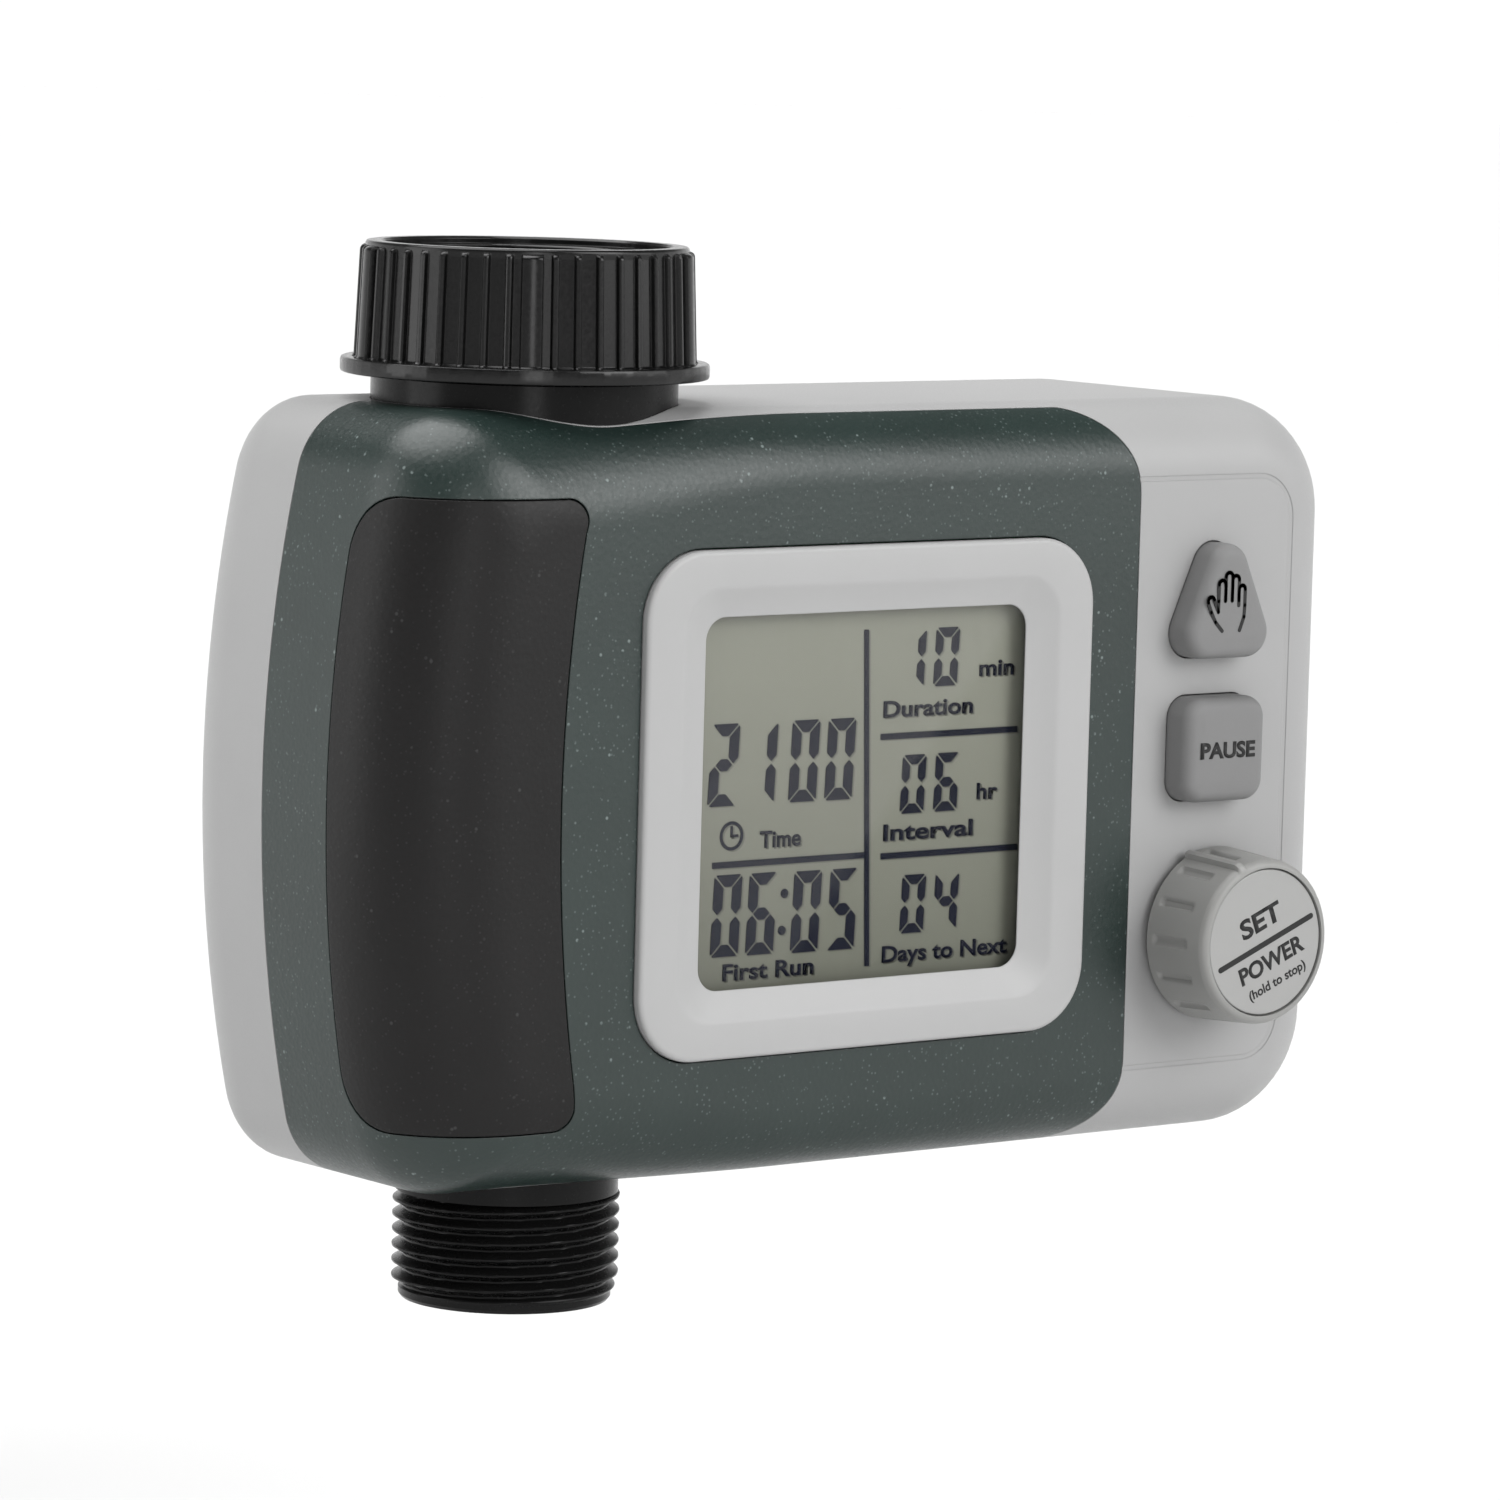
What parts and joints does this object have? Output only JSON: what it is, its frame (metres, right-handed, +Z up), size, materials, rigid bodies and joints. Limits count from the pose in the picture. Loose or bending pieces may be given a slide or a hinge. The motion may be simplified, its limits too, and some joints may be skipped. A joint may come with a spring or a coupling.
{
  "type": "drip irrigation timer",
  "caption": "Hose-end irrigation timer: green and grey case with a display, keys and a push dial, a swivel tap nut on top and a threaded hose outlet below.",
  "frame": {"origin": "on the valve axis, on the washer face where the tap's end lands", "axes": "+Z up along the valve axis towards the tap, the display faces -Y, +X towards the controls"},
  "size_m": [0.1384, 0.059, 0.1224],
  "materials": {
    "shell_grey": "fine textured moulding",
    "cover_green": "fine textured dark green moulding",
    "panel_black": "satin",
    "bezel_grey": "smooth satin",
    "clear_window": "clear gloss",
    "lcd": "reflective liquid crystal",
    "black_gloss": "gloss black moulding",
    "key_rubber": "soft matt grey",
    "knob_grey": "satin",
    "label_foil": "satin printed disc",
    "seal_rubber": "black rubber",
    "steel": "plated",
    "board": "green circuit board",
    "white_plastic": "natural moulding",
    "chip_black": "moulded package",
    "copper": "enamelled wire",
    "battery": "printed sleeve",
    "screen_mesh": "moulded mesh"
  },
  "bodies": {
    "case": {"main_housing": "shell_grey", "rear_cover": "shell_grey", "front_cover": "cover_green", "valve_panel": "panel_black", "housing_gasket": "seal_rubber", "display_bezel": "bezel_grey", "display_lens": "clear_window", "lcd_glass": "lcd", "lcd_frame": "white_plastic", "lcd_connector_strips": "seal_rubber", "main_pcb": "board", "pcb_screws": "steel", "controller_chip": "chip_black", "capacitors": "chip_black", "push_switches": "chip_black", "encoder_body": "chip_black", "valve_body": "black_gloss", "valve_bonnet": "black_gloss", "bonnet_screws": "steel", "valve_diaphragm": "seal_rubber", "diaphragm_spring": "steel", "core_tube": "steel", "solenoid_core": "steel", "plunger_spring": "steel", "coil_bobbin": "white_plastic", "coil_winding": "copper", "solenoid_frame": "steel", "solenoid_leads": "seal_rubber", "inlet_spigot": "black_gloss", "inlet_filter": "screen_mesh", "inlet_washer": "seal_rubber", "battery_bay": "white_plastic", "bay_contacts": "steel", "battery_leads": "seal_rubber", "case_screws": "steel"},
    "tap_nut": {"inlet_nut": "black_gloss"},
    "manual_key": {"manual_button": "key_rubber", "manual_switch_pin": "chip_black"},
    "delay_key": {"delay_button": "key_rubber", "delay_switch_pin": "chip_black"},
    "encoder_plunger": {"encoder_push_plate": "steel"},
    "dial": {"knob": "knob_grey", "knob_cap": "label_foil", "encoder_spindle": "steel"},
    "poppet": {"diaphragm_poppet": "white_plastic"},
    "plunger": {"solenoid_plunger": "steel", "plunger_seal": "seal_rubber"},
    "drawer": {"battery_drawer": "shell_grey", "drawer_seal": "seal_rubber", "battery_cell_1": "battery", "battery_cell_2": "battery", "battery_top_contacts": "steel", "battery_spring_contacts": "steel"}
  },
  "joints": [
    {"name": "nut_spin", "type": "hinge", "parent": "case", "child": "tap_nut", "pos_m": [0, 0, 0], "axis": [0, 0, 1], "continuous": true},
    {"name": "manual_press", "type": "slide", "parent": "case", "child": "manual_key", "axis": [0, 1, 0], "range_m": [0, 0.0012], "stiffness_N_per_m": 1500, "springref_m": -0.0006},
    {"name": "delay_press", "type": "slide", "parent": "case", "child": "delay_key", "axis": [0, 1, 0], "range_m": [0, 0.0012], "stiffness_N_per_m": 1500, "springref_m": -0.0006},
    {"name": "dial_push", "type": "slide", "parent": "case", "child": "encoder_plunger", "axis": [0, 1, 0], "range_m": [0, 0.0006], "stiffness_N_per_m": 4000, "springref_m": -0.0004},
    {"name": "dial_turn", "type": "hinge", "parent": "encoder_plunger", "child": "dial", "pos_m": [0.0866, -0.03, -0.0741], "axis": [0, 1, 0], "continuous": true},
    {"name": "poppet_lift", "type": "slide", "parent": "case", "child": "poppet", "axis": [1, 0, 0], "range_m": [0, 0.0025], "stiffness_N_per_m": 300, "springref_m": -0.002, "deforming": ["diaphragm_spring"]},
    {"name": "plunger_pull", "type": "slide", "parent": "case", "child": "plunger", "axis": [1, 0, 0], "range_m": [0, 0.0014], "stiffness_N_per_m": 200, "springref_m": -0.002, "deforming": ["plunger_spring"]},
    {"name": "drawer_slide", "type": "slide", "parent": "case", "child": "drawer", "axis": [0, 0, -1], "range_m": [0, 0.058]}
  ]
}
